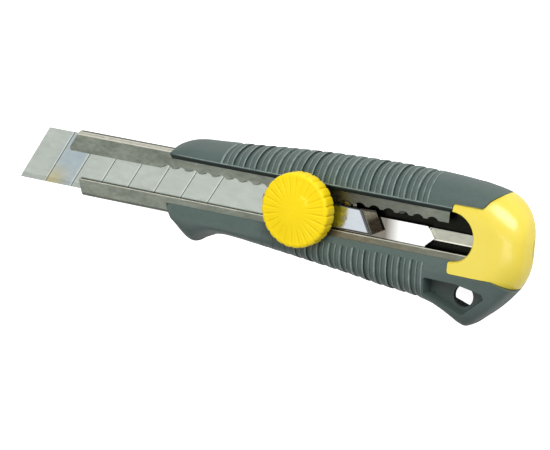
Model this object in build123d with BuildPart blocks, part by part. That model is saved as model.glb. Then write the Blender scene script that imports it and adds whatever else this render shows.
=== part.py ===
from build123d import *
from math import hypot, radians, tan
import os

os.makedirs("parts", exist_ok=True)

# Driving dimensions, in mm.
overall_length = 183.6  # blade tip to butt, with two blade segments out
handle_depth = 16.0
blade_width = 18.0
blade_length = 100.0
blade_thickness = 0.5
score_pitch = 10.0
score_angle = 60
tooth_pitch = 5.0
tooth_count = 20
sheet = 0.7  # steel sheet of the channel and the slider block
wheel_radius = 11.75
thread_radius = 1.9
thread_clearance = 0.05
cap_gap = 0.15  # between the end cap and the handle

# Every station below is x back from the blade's tip, y from the blade's middle line
# towards its spine, and z from the blade's upper face.
tip_x = -overall_length / 2
blade_line_y = 5.0
blade_face_z = handle_depth - 3.0
layout = Plane(origin=(tip_x, blade_line_y, blade_face_z))

# The channel.
lip_top = 1.1
lip_underside = lip_top - sheet
channel_base = -2.4
floor_top = channel_base + sheet
channel_low = -10.9
channel_high = 9.9
channel_end = 167.2
bend_radius = 1.2
lip_end_high = 157.5
lip_end_low = 165.0
bead_low = -2.9
bead_high = 0.7
bead_top = -blade_thickness - 0.06
slot_low = -5.47
slot_high = 3.15
slot_toothed = 3.5
tooth_depth = 0.95
first_root_x = 57.0

# The slider.
stud_x = 108.4
stud_y = -0.3
carrier_base = -0.4
carrier_top = 0.3
carrier_front = 100.3  # just behind the blade
tongue_base = 0.03
block_top = 2.0
block_low = -4.75
block_high = 2.75
block_middle = (block_low + block_high) / 2
washer_base = 2.15
washer_top = 2.85
washer_radius = 6.4
hub_base = 3.6
hub_radius = 5.2
wheel_base = 3.9
wheel_rim_top = 9.1
wheel_crown = 9.8
wheel_centre = 3.6
insert_top = 8.3
stud_top = 8.7
insert_size = 3.3
stud_shank_radius = 1.5
stud_at = (stud_x, stud_y)
block_rivets_at = [(103.4, block_middle), (122.6, block_middle)]
block_rivet_radius = 0.9
block_front = 95.0
collar_radius = 2.0
collar_height = 0.5
peg_x = 94.5
peg_radius = 2.4

# The handle.
handle_front = handle_depth - blade_face_z
handle_back = -blade_face_z
trimmed_back = handle_back - 0.2  # drawn past the flat back, which is then cut true
grip_start = 76.5
grip_end = 152.5
grip_edge_high = 8.4
grip_edge_low = -9.6
grip_thickness = 1.6
window_high = 6.9
window_low = -7.6
space_start = 50.0  # clear of the handle, towards the tip
space_length = 120.0
core_start = 67.0
core_base = -10.9
core_middle = -0.2
core_width = 21.6
magazine_half = 9.6
magazine_base = -9.7
magazine_top = -6.0
magazine_start = 69.0
magazine_end = 172.0
spare_start = 70.0
latch_base = -5.0
latch_top = -3.4
latch_half = 8.0
latch_start = 148.0
hole_x = 163.2
hole_y = -18.6
hole_radius = 3.3
web_top = -2.0
web_base = -3.6

# Cross-sections of the handle: x, lowest y, highest y, back z, front z.
handle_stations = [
    (57.6, -9.0, 9.3, -6.0, 1.7),
    (60.0, -13.0, 11.8, -8.8, 2.0),
    (63.0, -17.0, 12.9, -10.8, 2.3),
    (66.5, -19.4, 13.4, -12.2, 2.6),
    (70.0, -17.6, 13.9, -12.9, 2.8),
    (76.0, -15.4, 14.6, trimmed_back, 2.9),
    (88.0, -15.4, 15.6, trimmed_back, handle_front),
    (106.0, -17.4, 16.6, trimmed_back, handle_front),
    (124.0, -19.1, 17.4, trimmed_back, handle_front),
    (142.0, -21.3, 17.6, trimmed_back, handle_front),
    (156.0, -22.0, 17.4, trimmed_back, handle_front),
    (166.0, -20.2, 16.7, trimmed_back, handle_front),
    (173.5, -16.8, 14.9, -12.9, 2.8),
    (178.0, -14.1, 12.0, -11.7, 2.1),
    (181.6, -10.0, 7.6, -9.0, 0.3),
    (183.6, -4.8, 2.8, -6.2, -2.4),
]


def level(z):
    """A plane across the depth of the knife, z above the blade's upper face."""
    return layout.offset(z)


def crossing(x):
    """A plane across the length of the knife, x back from the blade's tip."""
    return Plane(origin=layout.from_local_coords((x, 0, 0)), x_dir=(0, 1, 0), z_dir=(1, 0, 0))


def box_between(low_first, high_first, low_second, high_second, mode=Mode.ADD):
    """A rectangle from its lowest to its highest first and second coordinate."""
    with Locations(((low_first + high_first) / 2, (low_second + high_second) / 2)):
        Rectangle(high_first - low_first, high_second - low_second, mode=mode)


def handle_outline(low, high, back, front):
    """One cross-section of the handle: flat faces and long elliptical flanks."""
    low_flank = 0.25 * (high - low)
    high_flank = 0.30 * (high - low)
    middle = (back + front) / 2
    half_depth = (front - back) / 2
    with BuildLine() as outline:
        Line((low + low_flank, back), (high - high_flank, back))
        EllipticalCenterArc((high - high_flank, middle), high_flank, half_depth, -90, arc_size=180)
        Line((high - high_flank, front), (low + low_flank, front))
        EllipticalCenterArc((low + low_flank, middle), low_flank, half_depth, 90, arc_size=180)
    make_face(outline.edges())


def cap_region(gap):
    """The end cap's share of the handle, seen from above and grown by a gap."""
    with BuildLine() as outline:
        Line((159.1 - gap, -11.5 - gap), (159.1 - gap, 9.9 + gap))
        Line((159.1 - gap, 9.9 + gap), (168.6 - gap, 9.9 + gap))
        ThreePointArc((168.6 - gap, 9.9 + gap), (171.2 - gap, 13.0 + gap), (176.0 - gap, 16.2 + gap))
        Polyline(
            (176.0 - gap, 16.2 + gap),
            (190, 24),
            (190, -13.7 - gap),
            (179.0, -13.7 - gap),
            (174.0, -11.6 - gap),
            (159.1 - gap, -11.5 - gap),
        )
    make_face(outline.edges())


# Bodies that several pieces are cut from.

with BuildPart() as handle_hull:
    for x, low, high, back, front in handle_stations:
        with BuildSketch(crossing(x)):
            handle_outline(low, high, back, front)
    loft()
    split(bisect_by=level(handle_back), keep=Keep.TOP)

with BuildPart() as grip_bed:
    for x, low, high, back, front in handle_stations[4:12]:
        with BuildSketch(crossing(x)):
            handle_outline(
                low + grip_thickness,
                high - grip_thickness,
                back + grip_thickness,
                front - grip_thickness,
            )
    loft()

with BuildPart() as lanyard_corner:
    with BuildSketch(level(-11.2)):
        with BuildLine():
            Polyline(
                (grip_end, -16),
                (grip_end, -22.0),
                (156.8, -23.7),
                (162.4, -27.1),
            )
            ThreePointArc((162.4, -27.1), (164.4, -27.9), (166.4, -27.2))
            Polyline(
                (166.4, -27.2),
                (173.5, -21.9),
                (181.8, -13.9),
                (172.0, -12.4),
                (grip_end, -16),
            )
        make_face()
    extrude(amount=12.4)
    flat_edges = lanyard_corner.faces().filter_by(Axis.Z).edges()
    outer_rim = flat_edges.filter_by_position(Axis.Y, -40, blade_line_y - 17)
    fillet(outer_rim, 1.4)

with BuildPart() as channel_space:
    with BuildSketch(crossing(space_start)):
        with Locations(((channel_low + channel_high) / 2, (channel_base + lip_top) / 2)):
            RectangleRounded(channel_high - channel_low, lip_top - channel_base, bend_radius)
    extrude(amount=channel_end - space_start)
    with BuildSketch(crossing(core_start)):
        with Locations((core_middle, (core_base + channel_base) / 2)):
            RectangleRounded(core_width, channel_base - core_base, 0.8)
    extrude(amount=channel_end - core_start)


# Blade: a strip with a ground edge, snap-off score lines and a peg hole.

slant = blade_width / tan(radians(score_angle))
half_blade = blade_width / 2
ground_width = 1.7
score_count = 7
score_half_width = 0.15
score_depth = 0.1

with BuildPart() as blade:
    with BuildSketch(crossing(0)):
        with BuildLine():
            Polyline(
                (-half_blade, -0.28),
                (-half_blade, -0.22),
                (-half_blade + ground_width, 0),
                (half_blade, 0),
                (half_blade, -blade_thickness),
                (-half_blade + ground_width, -blade_thickness),
                close=True,
            )
        make_face()
    extrude(amount=blade_length)
    with BuildSketch(level(-1)):
        with BuildLine():
            Polyline(
                (0, -half_blade),
                (slant, half_blade),
                (slant, half_blade + 1),
                (-1, half_blade + 1),
                (-1, -half_blade - 1),
                (0, -half_blade - 1),
                close=True,
            )
        make_face()
        with Locations((peg_x, 0)):
            Circle(peg_radius + 0.1)
    extrude(amount=2, mode=Mode.SUBTRACT)
    with BuildSketch(level(0)):
        for line in range(score_count):
            with BuildLine():
                start = (line + 1) * score_pitch
                Polyline(
                    (start - score_half_width, -half_blade),
                    (start - score_half_width + slant, half_blade),
                    (start + score_half_width + slant, half_blade),
                    (start + score_half_width, -half_blade),
                    close=True,
                )
            make_face()
    extrude(amount=-score_depth, mode=Mode.SUBTRACT)
blade.part.label = "blade"
export_step(blade.part, "parts/blade.step")


# Blade channel: folded sheet, with a bead under the blade and a row of detent teeth.

root_radius = 2.35
channel_rivets_at = [(80, -6.4), (80, 5.0), (140, -6.4), (140, 5.0)]
rivet_radius = 1.2
rivet_head_radius = 2.0
rivet_foot = -4.8

with BuildPart() as blade_channel:
    with BuildSketch(crossing(0)):
        with Locations(((channel_low + channel_high) / 2, (channel_base + lip_top) / 2)):
            RectangleRounded(channel_high - channel_low, lip_top - channel_base, bend_radius)
            RectangleRounded(
                channel_high - channel_low - 2 * sheet,
                lip_underside - floor_top,
                bend_radius - sheet,
                mode=Mode.SUBTRACT,
            )
        box_between(bead_low, bead_high, floor_top - 0.1, bead_top)
        box_between(
            bead_low + sheet,
            bead_high - sheet,
            channel_base - 0.1,
            bead_top - sheet,
            mode=Mode.SUBTRACT,
        )
    extrude(amount=channel_end)
    with BuildSketch(level(lip_underside - 0.1)):
        box_between(0, channel_end, slot_low, slot_high)
        box_between(first_root_x - tooth_pitch / 2, channel_end, slot_low, slot_toothed)
        for tooth in range(tooth_count):
            root_x = first_root_x + tooth * tooth_pitch
            with Locations((root_x, slot_toothed + tooth_depth - root_radius)):
                Circle(root_radius)
        box_between(lip_end_high, channel_end, 0, channel_high - sheet)
        box_between(lip_end_low, channel_end, channel_low + sheet, 0)
    extrude(amount=2, mode=Mode.SUBTRACT)
    with BuildSketch(level(channel_base - 1)):
        with BuildLine():
            Polyline(
                (-1, -13),
                (26.2, -13),
                (24.8, -8.7),
                (23.8, -5.9),
                (22.5, -3.0),
                (19.5, 4.2),
                (22.0, 8.6),
                (23.5, 12),
                (-1, 12),
                close=True,
            )
        make_face()
    extrude(amount=6, mode=Mode.SUBTRACT)
    with BuildSketch(level(channel_base - 1)):
        with Locations(*channel_rivets_at):
            Circle(rivet_radius)
    extrude(amount=2, mode=Mode.SUBTRACT)
blade_channel.part.label = "blade_channel"
export_step(blade_channel.part, "parts/blade_channel.step")


# Channel rivets: four low heads on the channel's floor, their shanks set in the core.

with BuildPart() as channel_rivets:
    with BuildSketch(level(rivet_foot)):
        with Locations(*channel_rivets_at):
            Circle(rivet_radius)
    extrude(amount=floor_top - rivet_foot)
    with BuildSketch(level(floor_top)):
        with Locations(*channel_rivets_at):
            Circle(rivet_head_radius)
    extrude(amount=0.5)
channel_rivets.part.label = "channel_rivets"
export_step(channel_rivets.part, "parts/channel_rivets.step")


# Handle core: the rigid bed under the channel, with the blade magazine and the latch slot.

with BuildPart() as handle_core:
    with BuildSketch(crossing(core_start)):
        with Locations((core_middle, (core_base + channel_base) / 2)):
            RectangleRounded(core_width, channel_base - core_base, 0.8)
    extrude(amount=channel_end - core_start)
    with BuildSketch(crossing(magazine_start)):
        box_between(-magazine_half, magazine_half, magazine_base, magazine_top)
    extrude(amount=magazine_end - magazine_start, mode=Mode.SUBTRACT)
    with BuildSketch(crossing(latch_start - 1)):
        box_between(-latch_half - cap_gap, latch_half + cap_gap, latch_base - cap_gap, latch_top + cap_gap)
    extrude(amount=channel_end - latch_start + 1, mode=Mode.SUBTRACT)
    add(channel_rivets.part, mode=Mode.SUBTRACT)
handle_core.part.label = "handle_core"
export_step(handle_core.part, "parts/handle_core.step")


# Grips: soft mouldings along the upper and lower flanks.

with BuildPart() as grip_high:
    add(handle_hull.part)
    add(grip_bed.part, mode=Mode.SUBTRACT)
    with BuildSketch(level(handle_back - 1)):
        box_between(grip_start, grip_end, grip_edge_high, 30)
    extrude(amount=handle_depth + 2, mode=Mode.INTERSECT)
    add(channel_space.part, mode=Mode.SUBTRACT)
grip_high.part.label = "grip_high"
export_step(grip_high.part, "parts/grip_high.step")

with BuildPart() as grip_low:
    add(handle_hull.part)
    add(grip_bed.part, mode=Mode.SUBTRACT)
    with BuildSketch(level(handle_back - 1)):
        box_between(grip_start, grip_end, -30, grip_edge_low)
    extrude(amount=handle_depth + 2, mode=Mode.INTERSECT)
    add(channel_space.part, mode=Mode.SUBTRACT)
grip_low.part.label = "grip_low"
export_step(grip_low.part, "parts/grip_low.step")


# Handle body: the moulded shell round the channel, with a finger guard and lanyard corner.

with BuildPart() as handle_body:
    add(handle_hull.part)
    with BuildSketch(level(handle_back - 1)):
        cap_region(cap_gap)
    extrude(amount=handle_depth + 2, mode=Mode.SUBTRACT)
    with BuildSketch(level(handle_back - 1)):
        box_between(grip_start, grip_end, grip_edge_high, 30)
        box_between(grip_start, grip_end, -30, grip_edge_low)
    grip_space = extrude(amount=handle_depth + 2, mode=Mode.PRIVATE)
    add(grip_space, mode=Mode.SUBTRACT)
    add(grip_space & grip_bed.part)
    add(lanyard_corner.part)
    with BuildSketch(level(handle_back - 1)):
        cap_region(cap_gap)
    extrude(amount=handle_depth + 2, mode=Mode.SUBTRACT)
    add(channel_space.part, mode=Mode.SUBTRACT)
    with BuildSketch(crossing(space_start)):
        box_between(window_low, window_high, 0, 5)
    extrude(amount=space_length, mode=Mode.SUBTRACT)
    with BuildSketch(crossing(magazine_start)):
        box_between(-magazine_half, magazine_half, magazine_base, magazine_top)
        box_between(-latch_half - cap_gap, latch_half + cap_gap, latch_base - cap_gap, latch_top + cap_gap)
    extrude(amount=magazine_end - magazine_start, mode=Mode.SUBTRACT)
    for pocket_start, pocket_depth in ((web_top, 6), (web_base, -10)):
        with BuildSketch(level(pocket_start)):
            with BuildLine():
                Polyline(
                    (151.8, -15.0),
                    (163.0, -15.2),
                    (170.4, -16.4),
                    (171.2, -17.6),
                    (164.4, -23.6),
                    (158.0, -21.4),
                    (151.8, -19.2),
                    close=True,
                )
            make_face()
        extrude(amount=pocket_depth, mode=Mode.SUBTRACT)
    with BuildSketch(level(handle_back)):
        with Locations((hole_x, hole_y)):
            Circle(hole_radius)
    extrude(amount=handle_depth, mode=Mode.SUBTRACT)
handle_body.part.label = "handle_body"
export_step(handle_body.part, "parts/handle_body.step")


# End cap: closes the magazine, with two prongs beside the channel's mouth.

notch_x = 159.0
notch_y = -0.4
notch_radius = 7.8

with BuildPart() as end_cap:
    add(handle_hull.part)
    with BuildSketch(level(handle_back - 1)):
        cap_region(0)
    extrude(amount=handle_depth + 2, mode=Mode.INTERSECT)
    with BuildSketch(crossing(150)):
        box_between(
            core_middle - core_width / 2 - cap_gap,
            core_middle + core_width / 2 + cap_gap,
            core_base - cap_gap,
            channel_base + cap_gap,
        )
        box_between(channel_low - cap_gap, channel_high + cap_gap, channel_base, lip_top + cap_gap)
    extrude(amount=channel_end + cap_gap - 150, mode=Mode.SUBTRACT)
    with BuildSketch(level(channel_base)):
        with Locations((notch_x, notch_y)):
            Circle(notch_radius)
    extrude(amount=8, mode=Mode.SUBTRACT)
    with BuildSketch(crossing(150)):
        box_between(-9.3, 9.3, -1.0, 0.9)
    extrude(amount=28, mode=Mode.SUBTRACT)
    with BuildSketch(crossing(150)):
        box_between(-magazine_half, magazine_half, magazine_base, magazine_top)
    extrude(amount=magazine_end - 150, mode=Mode.SUBTRACT)
    with BuildSketch(crossing(latch_start)):
        box_between(-latch_half, latch_half, latch_base, latch_top)
    extrude(amount=channel_end + 1 - latch_start)
end_cap.part.label = "end_cap"
export_step(end_cap.part, "parts/end_cap.step")


# Spare blades: a stack of three in the magazine.

with BuildPart() as spare_blades:
    for place in range(3):
        with BuildSketch(level(magazine_base + 0.1 + place * (blade_thickness + 0.1))):
            with BuildLine():
                Polyline(
                    (spare_start, -half_blade),
                    (spare_start + slant, half_blade),
                    (spare_start + blade_length, half_blade),
                    (spare_start + blade_length, -half_blade),
                    close=True,
                )
            make_face()
        extrude(amount=blade_thickness)
spare_blades.part.label = "spare_blades"
export_step(spare_blades.part, "parts/spare_blades.step")


# Carrier plate: slides under the lips, holds the blade's peg in front and the stud behind.

with BuildPart() as carrier_plate:
    with BuildSketch(level(carrier_base)):
        with BuildLine():
            Polyline(
                (carrier_front, -8.5),
                (149.6, -8.5),
                (149.8, -5.0),
                (152.7, -2.4),
                (150.3, 1.05),
                (126.0, 1.05),
                (124.0, 8.6),
                (carrier_front, 8.6),
                close=True,
            )
        make_face()
    extrude(amount=carrier_top - carrier_base)
    with BuildSketch(level(tongue_base)):
        box_between(peg_x, carrier_front, -peg_radius, peg_radius)
        with Locations((peg_x, 0)):
            Circle(peg_radius)
    extrude(amount=carrier_top - tongue_base)
    with BuildSketch(level(carrier_base)):
        with Locations(stud_at, (peg_x, 0)):
            Circle(stud_shank_radius)
        with Locations(*block_rivets_at):
            Circle(block_rivet_radius)
    extrude(amount=1, mode=Mode.SUBTRACT)
carrier_plate.part.label = "carrier_plate"
export_step(carrier_plate.part, "parts/carrier_plate.step")


# Blade peg: riveted into the carrier plate, its head standing in the blade's hole.

with BuildPart() as blade_peg:
    with BuildSketch(level(-blade_thickness)):
        with Locations((peg_x, 0)):
            Circle(peg_radius)
    extrude(amount=blade_thickness + tongue_base)
    with BuildSketch(level(tongue_base)):
        with Locations((peg_x, 0)):
            Circle(stud_shank_radius)
    extrude(amount=carrier_top - tongue_base)
blade_peg.part.label = "blade_peg"
export_step(blade_peg.part, "parts/blade_peg.step")


# Slot guide: the block that keeps the slider straight between the lips.

with BuildPart() as slot_guide:
    with BuildSketch(level(carrier_top)):
        box_between(97.0, 126.0, block_low + sheet, block_high - sheet)
        with Locations(stud_at):
            Circle(collar_radius + 0.1, mode=Mode.SUBTRACT)
        with Locations(*block_rivets_at):
            Circle(block_rivet_radius, mode=Mode.SUBTRACT)
    extrude(amount=block_top - sheet - carrier_top)
slot_guide.part.label = "slot_guide"
export_step(slot_guide.part, "parts/slot_guide.step")


# Slider block: the folded cover over the guide, its back end bent down as a tongue.

block_end_high = 127.9
block_end_low = 131.9
tongue_reach = 4.2
tongue_tip = 0.4
end_length = hypot(block_end_low - block_end_high, block_high - block_low)
end_dir = ((block_end_low - block_end_high) / end_length, (block_low - block_high) / end_length, 0)
end_out = (-end_dir[1], end_dir[0], 0)
end_corner = layout.from_local_coords((block_end_high, block_high, 0))
end_plane = Plane(origin=end_corner, x_dir=end_out, z_dir=end_dir)

with BuildPart() as slider_block:
    with BuildSketch(crossing(block_front)):
        box_between(block_low, block_high, carrier_top + 0.05, block_top)
        box_between(block_low + sheet, block_high - sheet, 0, block_top - sheet, mode=Mode.SUBTRACT)
    extrude(amount=40)
    top_rim = slider_block.faces().sort_by(Axis.Z)[-1].edges().filter_by(Axis.X)
    fillet(top_rim, 0.6)
    with BuildSketch(level(0)):
        with BuildLine():
            Polyline(
                (block_end_high, block_high),
                (block_end_low, block_low),
                (block_end_low, block_low - 2),
                (140, block_low - 2),
                (140, block_high + 2),
                (block_end_high, block_high + 2),
                close=True,
            )
        make_face()
    extrude(amount=4, mode=Mode.SUBTRACT)
    with BuildSketch(end_plane):
        with BuildLine():
            Polyline(
                (-0.3, block_top),
                (0, block_top),
                (tongue_reach, tongue_tip + sheet),
                (tongue_reach, tongue_tip),
                (-0.3, block_top - sheet),
                close=True,
            )
        make_face()
    extrude(amount=end_length)
    with BuildSketch(level(0)):
        box_between(block_end_high, 140, block_high + 0.15, block_high + 5)
    extrude(amount=4, mode=Mode.SUBTRACT)
    with BuildSketch(level(block_top - 2)):
        with Locations(stud_at):
            Circle(thread_radius + 0.2)
        with Locations(*block_rivets_at):
            Circle(block_rivet_radius)
    extrude(amount=3, mode=Mode.SUBTRACT)
slider_block.part.label = "slider_block"
export_step(slider_block.part, "parts/slider_block.step")


# Block rivets: two flush rivets through block, guide and carrier.

with BuildPart() as block_rivets:
    with BuildSketch(level(carrier_base)):
        with Locations(*block_rivets_at):
            Circle(block_rivet_radius)
    extrude(amount=block_top - carrier_base)
block_rivets.part.label = "block_rivets"
export_step(block_rivets.part, "parts/block_rivets.step")


# Detent spring: a thin leaf beside the block, its bump resting between two teeth.

detent_x = 122.0
leaf = 0.25
leaf_start = 100.0
leaf_width = 0.7
bump_peak = slot_toothed + tooth_depth - 0.15

with BuildPart() as detent_spring:
    with BuildSketch(level(carrier_top + 0.1)):
        with BuildLine():
            Polyline(
                (leaf_start, block_high),
                (leaf_start, block_high + leaf),
                (detent_x - 1.9, block_high + leaf),
            )
            ThreePointArc(
                (detent_x - 1.9, block_high + leaf),
                (detent_x, bump_peak),
                (detent_x + 1.9, block_high + leaf),
            )
            Line((detent_x + 1.9, block_high + leaf), (detent_x + 1.5, block_high))
            ThreePointArc(
                (detent_x + 1.5, block_high),
                (detent_x, bump_peak - leaf),
                (detent_x - 1.5, block_high),
            )
            Line((detent_x - 1.5, block_high), (leaf_start, block_high))
        make_face()
    extrude(amount=leaf_width)
detent_spring.part.label = "detent_spring"
export_step(detent_spring.part, "parts/detent_spring.step")


# Wheel stud: collar on the carrier plate and a plain-cut thread up into the wheel.

with BuildPart() as wheel_stud:
    with BuildSketch(level(carrier_base)):
        with Locations(stud_at):
            Circle(stud_shank_radius)
    extrude(amount=carrier_top - carrier_base)
    with BuildSketch(level(carrier_top)):
        with Locations(stud_at):
            Circle(collar_radius)
    extrude(amount=collar_height)
    with BuildSketch(level(carrier_top + collar_height)):
        with Locations(stud_at):
            Circle(thread_radius)
    extrude(amount=stud_top - carrier_top - collar_height)
    chamfer(wheel_stud.faces().sort_by(Axis.Z)[-1].edges(), 0.3)
wheel_stud.part.label = "wheel_stud"
export_step(wheel_stud.part, "parts/wheel_stud.step")


# Clamp washer: bridges the block and presses a foot on each lip.

with BuildPart() as clamp_washer:
    with BuildSketch(level(lip_top + 0.1)):
        with Locations(stud_at):
            Circle(washer_radius)
        box_between(stud_x - 10, stud_x + 10, block_low - 0.5, slot_high + 0.1, mode=Mode.SUBTRACT)
    extrude(amount=washer_base - lip_top - 0.1)
    with BuildSketch(level(washer_base)):
        with Locations(stud_at):
            Circle(washer_radius)
    extrude(amount=washer_top - washer_base)
    with BuildSketch(level(lip_top)):
        with Locations(stud_at):
            Circle(thread_radius + 0.1)
    extrude(amount=3, mode=Mode.SUBTRACT)
clamp_washer.part.label = "clamp_washer"
export_step(clamp_washer.part, "parts/clamp_washer.step")


# Spring washer: a shallow cone between the clamp washer and the wheel's hub.

turning_centre = layout.from_local_coords((stud_x, stud_y, 0))
turning_plane = Plane(origin=turning_centre, x_dir=(1, 0, 0), z_dir=(0, -1, 0))
turning_axis = Axis(turning_centre, (0, 0, 1))

with BuildPart() as spring_washer:
    with BuildSketch(turning_plane):
        with BuildLine():
            Polyline(
                (2.2, 3.2),
                (5.0, washer_top + 0.02),
                (5.0, washer_top + 0.37),
                (2.2, hub_base - 0.05),
                close=True,
            )
        make_face()
    revolve(axis=turning_axis)
spring_washer.part.label = "spring_washer"
export_step(spring_washer.part, "parts/spring_washer.step")


# Wheel insert: the hexagonal nut moulded into the wheel.

with BuildPart() as wheel_insert:
    with BuildSketch(level(hub_base)):
        with Locations(stud_at):
            RegularPolygon(insert_size, 6)
            Circle(thread_radius + thread_clearance, mode=Mode.SUBTRACT)
    extrude(amount=insert_top - hub_base)
wheel_insert.part.label = "wheel_insert"
export_step(wheel_insert.part, "parts/wheel_insert.step")


# Lock wheel: a low dome with a fluted rim.

rim_flutes = 24
flute_radius = 1.0

with BuildPart() as lock_wheel:
    with BuildSketch(turning_plane):
        with BuildLine():
            Polyline(
                (0, hub_base),
                (hub_radius, hub_base),
                (hub_radius, wheel_base),
                (wheel_radius - 0.6, wheel_base),
                (wheel_radius, wheel_base + 0.5),
                (wheel_radius, wheel_rim_top - 0.6),
                (wheel_radius - 0.7, wheel_rim_top),
            )
            Polyline((wheel_radius - 0.7, wheel_rim_top), (wheel_centre, wheel_crown), (0, wheel_crown))
            Line((0, wheel_crown), (0, hub_base))
        make_face()
    revolve(axis=turning_axis)
    with BuildSketch(level(hub_base)):
        with Locations(stud_at):
            RegularPolygon(insert_size, 6)
    extrude(amount=insert_top - hub_base, mode=Mode.SUBTRACT)
    with BuildSketch(level(insert_top)):
        with Locations(stud_at):
            Circle(thread_radius + 0.2)
    extrude(amount=0.7, mode=Mode.SUBTRACT)
    with BuildSketch(level(wheel_base - 1)):
        with Locations(stud_at):
            Circle(wheel_radius + 1)
            with PolarLocations(wheel_radius + 0.6, rim_flutes):
                Circle(flute_radius, mode=Mode.SUBTRACT)
    extrude(amount=wheel_crown, mode=Mode.INTERSECT)
lock_wheel.part.label = "lock_wheel"
export_step(lock_wheel.part, "parts/lock_wheel.step")
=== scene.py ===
import math

import bmesh
import bpy
import numpy as np
from mathutils import Matrix, Vector


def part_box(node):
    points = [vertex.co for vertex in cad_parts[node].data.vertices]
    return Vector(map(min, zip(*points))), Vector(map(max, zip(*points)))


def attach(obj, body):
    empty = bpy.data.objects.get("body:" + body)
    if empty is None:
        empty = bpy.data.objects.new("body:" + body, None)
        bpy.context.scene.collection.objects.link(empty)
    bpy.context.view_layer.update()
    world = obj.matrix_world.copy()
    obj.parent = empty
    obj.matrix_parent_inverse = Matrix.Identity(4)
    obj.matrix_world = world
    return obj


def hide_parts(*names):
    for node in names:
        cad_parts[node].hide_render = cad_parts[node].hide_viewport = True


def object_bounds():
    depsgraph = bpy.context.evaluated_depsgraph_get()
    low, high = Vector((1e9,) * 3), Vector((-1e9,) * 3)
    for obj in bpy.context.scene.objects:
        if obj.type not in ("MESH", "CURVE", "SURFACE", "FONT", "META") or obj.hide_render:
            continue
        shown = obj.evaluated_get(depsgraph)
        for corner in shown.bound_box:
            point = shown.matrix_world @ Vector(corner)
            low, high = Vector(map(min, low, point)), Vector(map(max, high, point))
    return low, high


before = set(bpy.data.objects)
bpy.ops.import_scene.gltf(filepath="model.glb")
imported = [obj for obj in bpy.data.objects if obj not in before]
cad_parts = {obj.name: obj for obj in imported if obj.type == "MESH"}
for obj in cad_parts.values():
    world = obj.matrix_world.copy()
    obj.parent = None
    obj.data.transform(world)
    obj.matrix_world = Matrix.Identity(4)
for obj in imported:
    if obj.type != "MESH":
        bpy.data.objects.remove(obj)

cadLow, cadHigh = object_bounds()
bladeLow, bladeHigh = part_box("blade")
wheelLow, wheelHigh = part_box("lock_wheel")
mm = 0.001

# Shapes are drawn in mm: x back from the blade's tip, y from its middle line towards
# the spine, z from its upper face.
origin = np.array([bladeLow.x, (bladeLow.y + bladeHigh.y) / 2, bladeHigh.z])
print("frame loaded,", len(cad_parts), "nodes")


def place(points):
    return np.asarray(points, float) * mm + origin


def measure(point):
    return (np.array(point) - origin) / mm


def addPiece(name, points, faces):
    mesh = bpy.data.meshes.new(name)
    mesh.from_pydata([tuple(p) for p in place(points)], [], faces)
    mesh.validate()
    piece = bpy.data.objects.new(name, mesh)
    bpy.context.scene.collection.objects.link(piece)
    return piece


def faceOutwards(piece):
    work = bmesh.new()
    work.from_mesh(piece.data)
    bmesh.ops.recalc_face_normals(work, faces=work.faces)
    work.to_mesh(piece.data)
    work.free()


def settle(piece):
    # turns the piece's modifiers into its mesh
    done = bpy.data.meshes.new_from_object(piece.evaluated_get(bpy.context.evaluated_depsgraph_get()))
    piece.modifiers.clear()
    piece.data = done


def combine(piece, tool, how="DIFFERENCE"):
    step = piece.modifiers.new(how, "BOOLEAN")
    step.operation = how
    step.solver = "MANIFOLD"
    step.object = tool
    settle(piece)
    bpy.data.objects.remove(tool)


def cleanUp(piece):
    # joins doubled points and splits faces of many corners
    work = bmesh.new()
    work.from_mesh(piece.data)
    bmesh.ops.remove_doubles(work, verts=work.verts, dist=0.002 * mm)
    bmesh.ops.dissolve_degenerate(work, edges=work.edges, dist=0.002 * mm)
    bmesh.ops.triangulate(work, faces=[face for face in work.faces if len(face.verts) > 4])
    work.to_mesh(piece.data)
    work.free()


def smoothShade(piece, angle=32):
    piece.data.shade_smooth()
    piece.data.set_sharp_from_angle(angle=math.radians(angle))


def tube(name, rings):
    # a closed solid through rings that hold the same number of points
    count = len(rings[0])
    points = np.concatenate(rings)
    faces = []
    for ring in range(len(rings) - 1):
        for spot in range(count):
            after = (spot + 1) % count
            base = ring * count
            faces.append((base + spot, base + after, base + count + after, base + count + spot))
    faces.append(tuple(range(count - 1, -1, -1)))
    last = (len(rings) - 1) * count
    faces.append(tuple(range(last, last + count)))
    piece = addPiece(name, points, faces)
    faceOutwards(piece)
    return piece


def block(name, low, high):
    ring = [(low[1], low[2]), (high[1], low[2]), (high[1], high[2]), (low[1], high[2])]
    return tube(name, [np.array([(x, y, z) for y, z in ring]) for x in (low[0], high[0])])


def roundedOutline(corners, steps=6):
    # corners are (x, y, radius), in order
    outline = []
    for spot, (x, y, radius) in enumerate(corners):
        here = np.array([x, y])
        before = np.array(corners[spot - 1][:2]) - here
        after = np.array(corners[(spot + 1) % len(corners)][:2]) - here
        beforeWay = before / np.linalg.norm(before)
        afterWay = after / np.linalg.norm(after)
        half = math.acos(max(-1, min(1, float(beforeWay @ afterWay)))) / 2
        longest = 0.49 * min(np.linalg.norm(before), np.linalg.norm(after))
        reach = min(radius / math.tan(half), longest)
        for step in range(steps + 1):
            share = step / steps
            start = here + beforeWay * reach
            end = here + afterWay * reach
            outline.append((1 - share) ** 2 * start + 2 * share * (1 - share) * here + share ** 2 * end)
    return np.array(outline)


def outwardWays(outline):
    # unit vectors square to a closed outline, pointing out of it
    ahead = np.roll(outline, -1, axis=0) - np.roll(outline, 1, axis=0)
    ways = np.stack([ahead[:, 1], -ahead[:, 0]], axis=1)
    ways /= np.maximum(np.linalg.norm(ways, axis=1, keepdims=True), 1e-9)
    across, up = outline[:, 0], outline[:, 1]
    turning = np.sum(across * np.roll(up, -1) - np.roll(across, -1) * up)
    return ways if turning > 0 else -ways


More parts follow.
